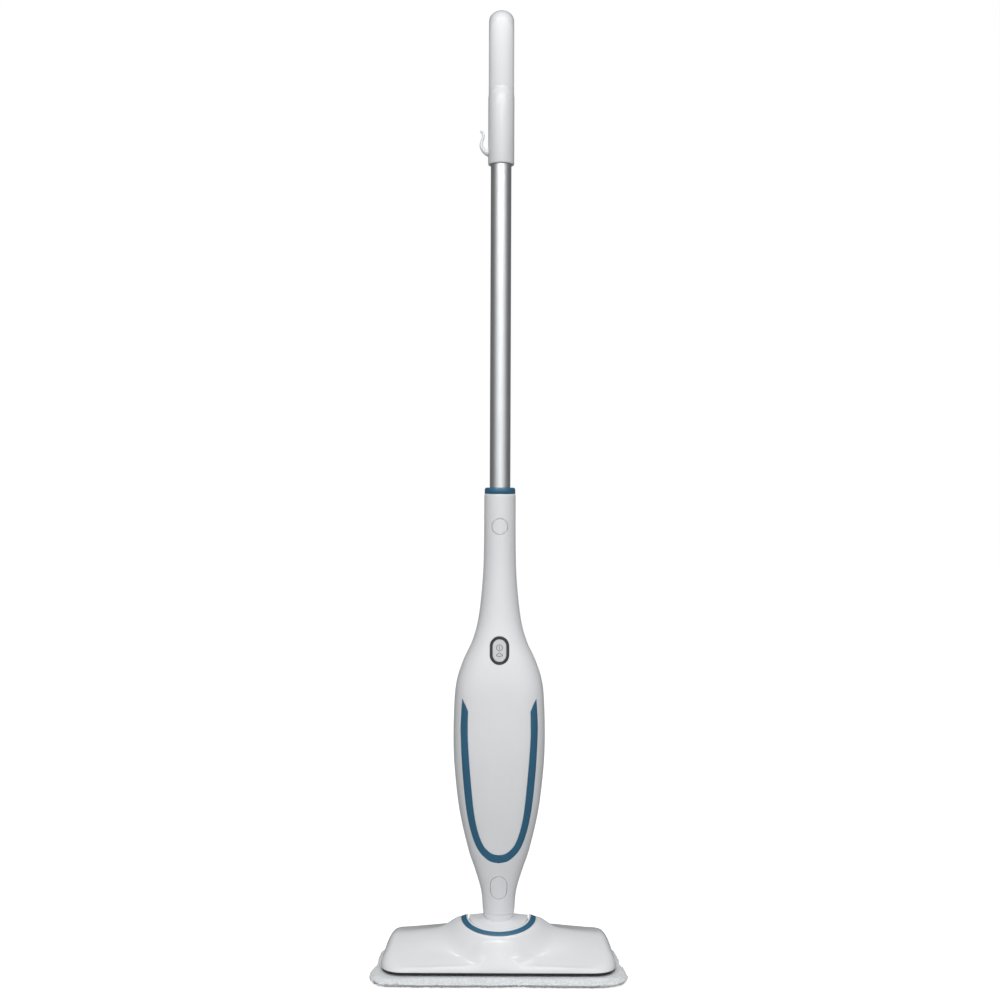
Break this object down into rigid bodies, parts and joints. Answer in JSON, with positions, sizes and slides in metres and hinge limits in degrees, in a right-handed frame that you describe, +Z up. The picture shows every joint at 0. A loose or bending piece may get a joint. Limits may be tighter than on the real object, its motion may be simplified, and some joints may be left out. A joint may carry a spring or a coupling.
{
  "type": "steam mop",
  "caption": "Upright steam mop with a wide floor head and microfibre pad, a slim body with a removable water tank, a metal tube and a loop handle.",
  "frame": {"origin": "on the floor, on the pole axis, in the middle of the pad underside", "axes": "+Z up along the pole, -Y the front of the mop, +X to the right seen from the front"},
  "size_m": [0.3056, 0.1578, 1.1697],
  "materials": {
    "white_gloss": "glossy moulded white",
    "white_matte": "fine matte white",
    "blue_plastic": "satin blue",
    "black_plastic": "moulded black",
    "grey_plastic": "satin light grey",
    "tank_plastic": "smoky clear",
    "rubber": "matte rubber",
    "steel": "zinc plated",
    "aluminium": "satin anodised",
    "circuit": "solder mask",
    "terry": "looped microfibre"
  },
  "bodies": {
    "head": {"floor_pad": "terry", "hook_strip_left": "grey_plastic", "hook_strip_right": "grey_plastic", "base_plate": "black_plastic", "head_cover": "white_gloss", "head_blue_arc": "blue_plastic", "joint_collar": "white_gloss", "hinge_bracket": "black_plastic", "tilt_pin": "steel", "steam_nozzle": "black_plastic", "joint_hose": "rubber", "head_screw_left": "steel", "head_screw_right": "steel"},
    "yoke": {"yoke": "black_plastic", "swivel_pin": "steel"},
    "neck": {"neck": "white_gloss", "joint_shroud": "white_gloss", "neck_seal_ring": "rubber"},
    "body": {"body_front_shell": "white_gloss", "body_rear_shell": "white_gloss", "body_trim": "blue_plastic", "body_screw_upper": "steel", "body_screw_lower_left": "steel", "body_screw_lower_right": "steel", "tank_dock": "rubber", "switch_bezel": "black_plastic", "switch_module": "black_plastic", "circuit_board": "circuit", "boiler": "aluminium", "thermostat": "black_plastic", "pump": "black_plastic", "water_hose_from_tank": "rubber", "water_hose_to_boiler": "rubber", "steam_hose": "rubber", "cord_inlet": "black_plastic", "tube_socket": "grey_plastic", "top_collar": "blue_plastic", "latch_spring": "steel", "lower_hook_pin": "steel"},
    "steam_button": {"steam_button": "grey_plastic"},
    "head_release_button": {"head_release_button": "white_gloss"},
    "tube_release_button": {"tube_release_button": "white_gloss"},
    "tank": {"water_tank": "tank_plastic"},
    "tank_cap": {"tank_cap": "blue_plastic"},
    "cord_hook": {"lower_cord_hook": "white_gloss"},
    "handle": {"tube": "aluminium", "tube_plug": "black_plastic", "handle_body": "white_gloss", "handle_front_cover": "white_matte", "grip_insert": "grey_plastic", "cord_clip": "white_gloss", "upper_cord_hook": "white_gloss", "upper_hook_screw": "steel", "snap_pin_spring": "steel"},
    "snap_pin": {"snap_pin": "steel"}
  },
  "joints": [
    {"name": "head_tilt", "type": "hinge", "parent": "head", "child": "yoke", "pos_m": [0, 0, 0.032], "axis": [-1, 0, 0], "range_deg": [0, 70], "deforming": ["joint_hose"]},
    {"name": "neck_swivel", "type": "hinge", "parent": "yoke", "child": "neck", "pos_m": [0, 0, 0.05], "axis": [0, 1, 0], "range_deg": [-20, 20]},
    {"name": "body_pull", "type": "slide", "parent": "neck", "child": "body", "axis": [0, 0, 1], "range_m": [0, 0.045]},
    {"name": "tube_pull", "type": "slide", "parent": "body", "child": "handle", "axis": [0, 0, 1], "range_m": [0, 0.072]},
    {"name": "steam_button_press", "type": "slide", "parent": "body", "child": "steam_button", "axis": [0, 1, 0], "range_m": [0, 0.0015], "stiffness_N_per_m": 600, "springref_m": -0.001},
    {"name": "head_release_press", "type": "slide", "parent": "body", "child": "head_release_button", "axis": [0, 1, 0], "range_m": [0, 0.0025], "stiffness_N_per_m": 600, "springref_m": -0.001, "deforming": ["latch_spring"]},
    {"name": "tube_release_press", "type": "slide", "parent": "body", "child": "tube_release_button", "axis": [0, 1, 0], "range_m": [0, 0.002], "stiffness_N_per_m": 600, "springref_m": -0.001},
    {"name": "snap_pin_press", "type": "slide", "parent": "handle", "child": "snap_pin", "axis": [0, 1, 0], "range_m": [0, 0.002], "stiffness_N_per_m": 600, "springref_m": -0.001, "deforming": ["snap_pin_spring"]},
    {"name": "tank_pull", "type": "slide", "parent": "body", "child": "tank", "axis": [0, 1, 0], "range_m": [0, 0.06]},
    {"name": "tank_cap_turn", "type": "hinge", "parent": "tank", "child": "tank_cap", "pos_m": [0, 0.05, 0.3], "axis": [0, 1, 0], "range_deg": [0, 90]},
    {"name": "cord_hook_swivel", "type": "hinge", "parent": "body", "child": "cord_hook", "pos_m": [0, 0.03, 0.455], "axis": [0, 1, 0], "range_deg": [0, 180]}
  ],
  "couplings": [
    {"joint": "snap_pin_press", "follows": "tube_release_press", "ratio": 1}
  ]
}
